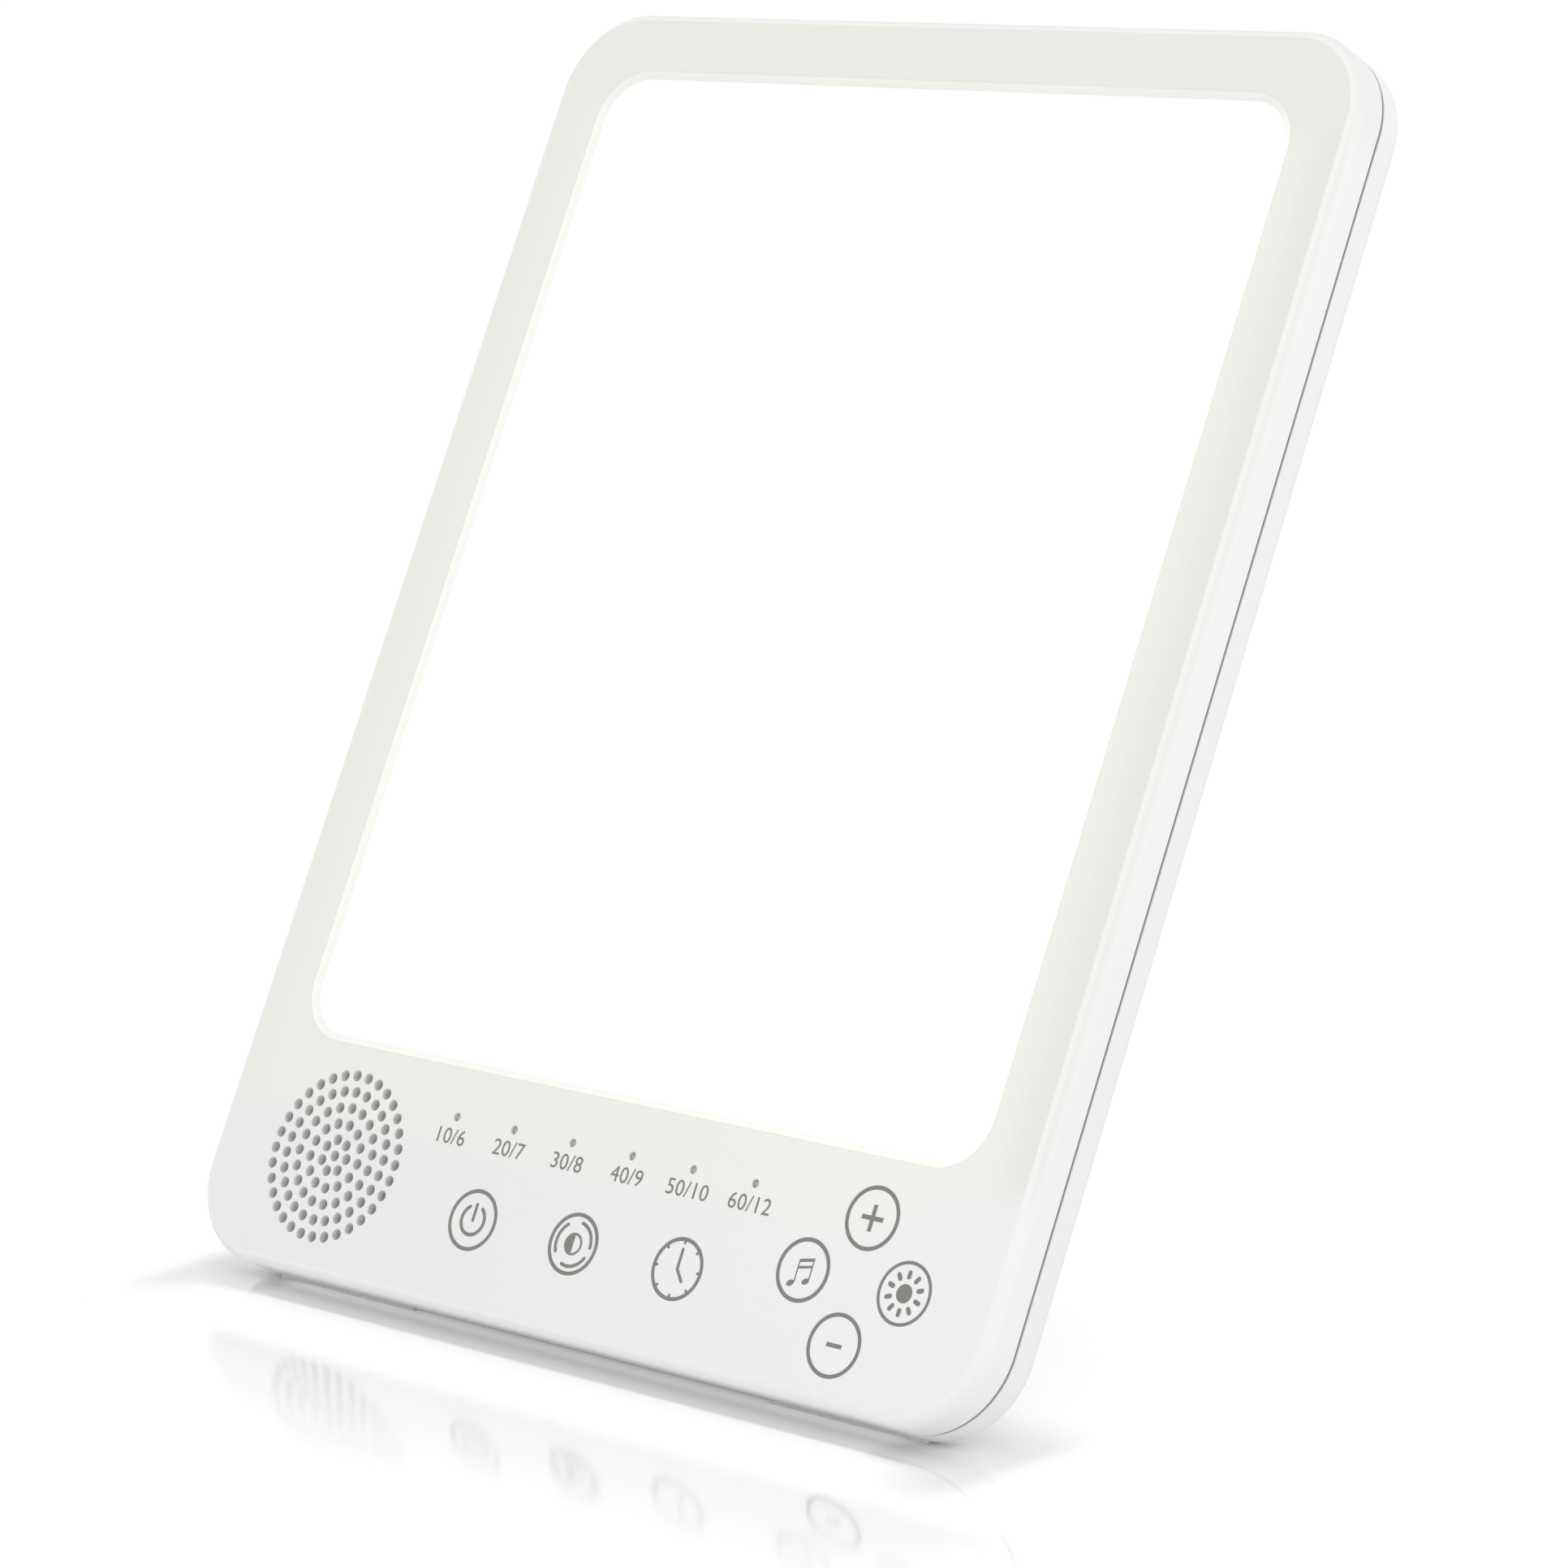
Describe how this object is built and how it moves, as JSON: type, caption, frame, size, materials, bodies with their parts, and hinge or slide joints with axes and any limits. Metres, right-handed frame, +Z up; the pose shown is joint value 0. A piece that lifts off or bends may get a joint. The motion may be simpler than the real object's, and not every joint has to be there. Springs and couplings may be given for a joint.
{
  "type": "light therapy lamp",
  "caption": "Slim tablet-shaped light therapy panel with a lit window, touch keys, a perforated speaker grille and a fold-out rear leg.",
  "frame": {"origin": "on the surface that the lamp stands on, under the middle of its box", "axes": "+X to the right and -Y forwards, the way the lit panel faces; +Z up"},
  "size_m": [0.1806, 0.119, 0.2214],
  "materials": {
    "white_shell": "satin white moulded plastic",
    "opal_diffuser": "satin opal white",
    "clear_acrylic": "polished clear",
    "white_film": "matt white film",
    "aluminium": "bright rolled sheet",
    "led_board": "white solder mask",
    "circuit_board": "green solder mask",
    "black_plastic": "matt black",
    "steel": "nickel plated",
    "speaker_paper": "matt pressed paper",
    "speaker_cloth": "fine grey mesh",
    "grey_rubber": "matt pale grey",
    "wire": "red insulation"
  },
  "bodies": {
    "panel": {"front_bezel": "white_shell", "rear_cover": "white_shell", "diffuser_panel": "opal_diffuser", "light_guide_plate": "clear_acrylic", "reflector_sheet": "white_film", "back_plate": "aluminium", "led_strip_left": "led_board", "led_strip_right": "led_board", "control_board": "circuit_board", "touch_chip": "black_plastic", "led_driver_chip": "black_plastic", "driver_coil": "black_plastic", "supply_capacitor": "steel", "touch_pad_power": "steel", "touch_pad_colour": "steel", "touch_pad_timer": "steel", "touch_pad_sound": "steel", "touch_pad_brightness": "steel", "touch_pad_plus": "steel", "touch_pad_minus": "steel", "indicator_pipe_1": "clear_acrylic", "indicator_pipe_2": "clear_acrylic", "indicator_pipe_3": "clear_acrylic", "indicator_pipe_4": "clear_acrylic", "indicator_pipe_5": "clear_acrylic", "indicator_pipe_6": "clear_acrylic", "speaker_frame": "black_plastic", "speaker_cloth": "speaker_cloth", "speaker_magnet": "steel", "power_inlet": "black_plastic", "power_inlet_pin": "steel", "led_lead_left": "wire", "led_lead_right": "wire", "speaker_lead": "wire", "foot_left": "grey_rubber", "foot_right": "grey_rubber", "case_screw_1": "steel", "case_screw_2": "steel", "case_screw_3": "steel", "case_screw_4": "steel", "case_screw_5": "steel", "case_screw_6": "steel", "board_screw_1": "steel", "board_screw_2": "steel", "board_screw_3": "steel", "board_screw_4": "steel", "speaker_screw_1": "steel", "speaker_screw_2": "steel"},
    "stand": {"stand_leg": "white_shell", "stand_shoe": "grey_rubber", "hinge_pin_left": "steel", "hinge_pin_right": "steel", "friction_washer_left": "steel", "friction_washer_right": "steel"},
    "cone": {"speaker_cone": "speaker_paper"}
  },
  "joints": [
    {"name": "leg_fold", "type": "hinge", "parent": "panel", "child": "stand", "pos_m": [0, 0.00955, 0.11743], "axis": [-1, 0, 0], "range_deg": [0, 36]},
    {"name": "cone_travel", "type": "slide", "parent": "panel", "child": "cone", "axis": [0, -0.8957, 0.4446], "range_m": [-0.0004, 0.0004], "stiffness_N_per_m": 1500}
  ]
}
